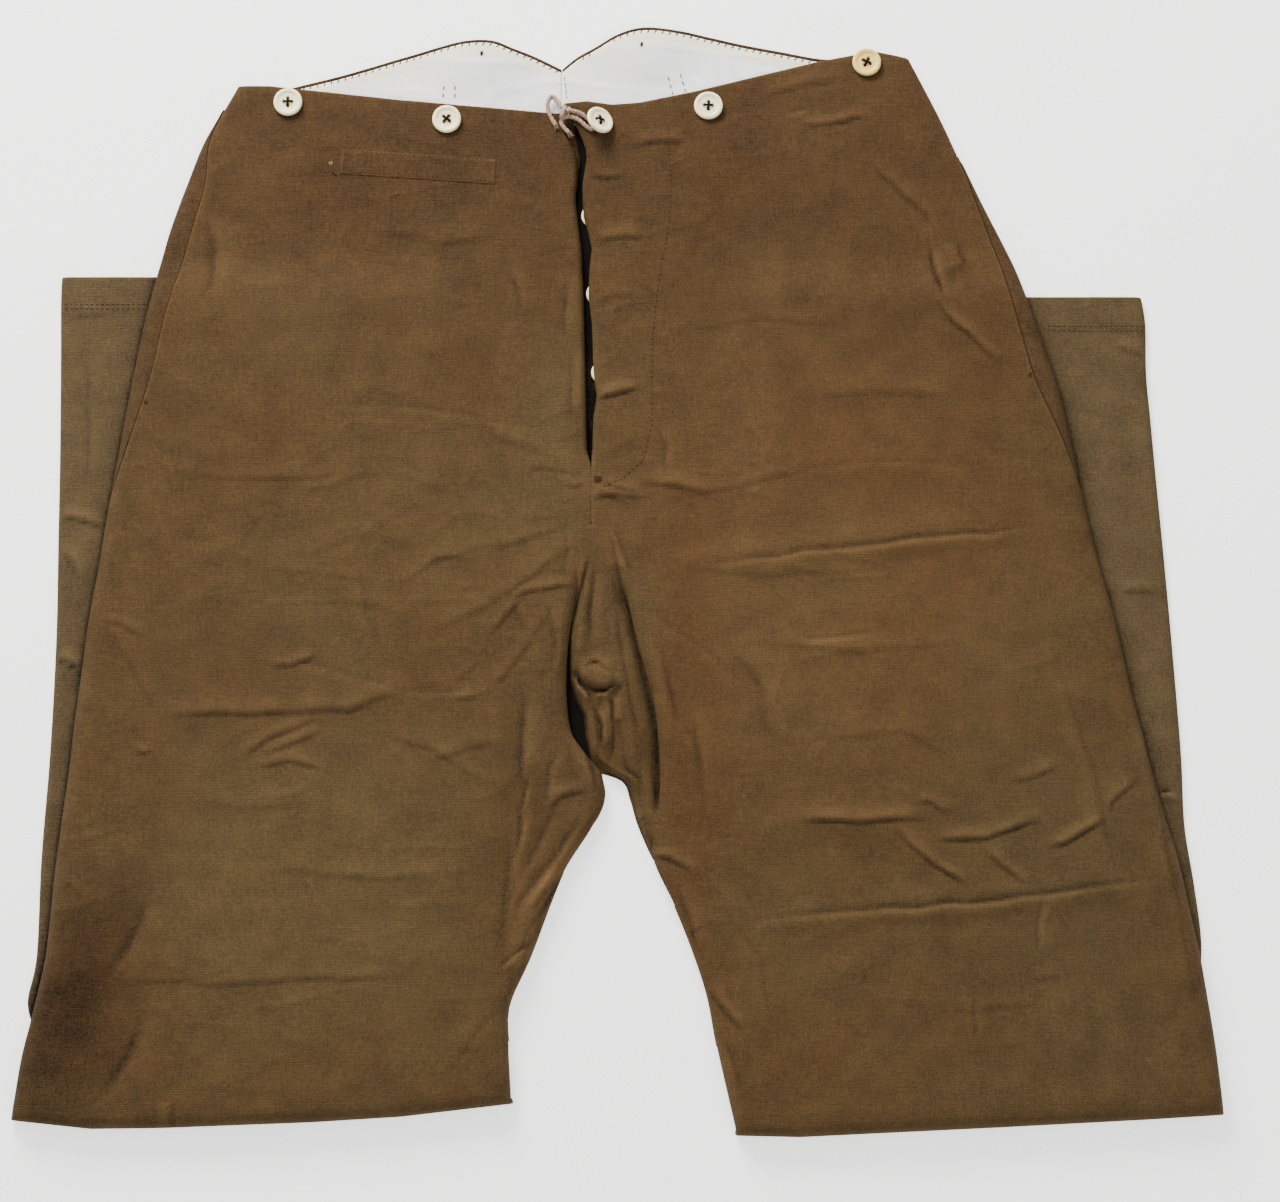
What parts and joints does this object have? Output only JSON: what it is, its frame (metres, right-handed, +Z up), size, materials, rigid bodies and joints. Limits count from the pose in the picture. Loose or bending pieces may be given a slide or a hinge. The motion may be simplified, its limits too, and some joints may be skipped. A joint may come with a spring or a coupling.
{
  "type": "trousers, laid flat",
  "caption": "High-waisted button-fly work trousers in brown cotton with a white-lined fishtail back, laid flat with the lower legs folded under.",
  "frame": {"origin": "middle of the bounding box in plan, on the table under the cloth", "axes": "+Z up from the table, +Y towards the waist, +X towards the wearer's left, along the knee folds"},
  "size_m": [0.6663, 0.6412, 0.0172],
  "materials": {
    "cloth_brown": "brown cotton, matt and worn",
    "cloth_olive": "faded brown cotton, matt",
    "lining_white": "white cotton, matt",
    "button_ivory": "bone, polished",
    "button_yellow": "yellowed bone, polished",
    "string_cotton": "cotton string, frayed"
  },
  "bodies": {
    "root": {"front_right": "cloth_brown", "front_left": "cloth_brown", "back_right_side": "cloth_brown", "back_left_side": "cloth_brown", "back_right_rise": "cloth_brown", "back_left_rise": "cloth_brown", "back_right_lining": "lining_white", "back_left_lining": "lining_white", "lower_leg_right_back": "cloth_olive", "lower_leg_right_front": "cloth_olive", "lower_leg_left_back": "cloth_olive", "lower_leg_left_front": "cloth_olive", "hidden_layers_right": "cloth_olive", "hidden_layers_left": "cloth_olive", "seat_fork": "cloth_olive", "fly_underlap": "cloth_brown", "watch_pocket_welt": "cloth_brown", "brace_button_1": "button_ivory", "brace_button_2": "button_ivory", "brace_button_3": "button_ivory", "brace_button_4": "button_yellow", "waist_button": "button_ivory", "fly_button_1": "button_ivory", "fly_button_2": "button_ivory", "fly_button_3": "button_ivory", "back_button_right": "button_ivory", "back_button_left": "button_ivory", "waist_string": "string_cotton"}
  },
  "joints": []
}
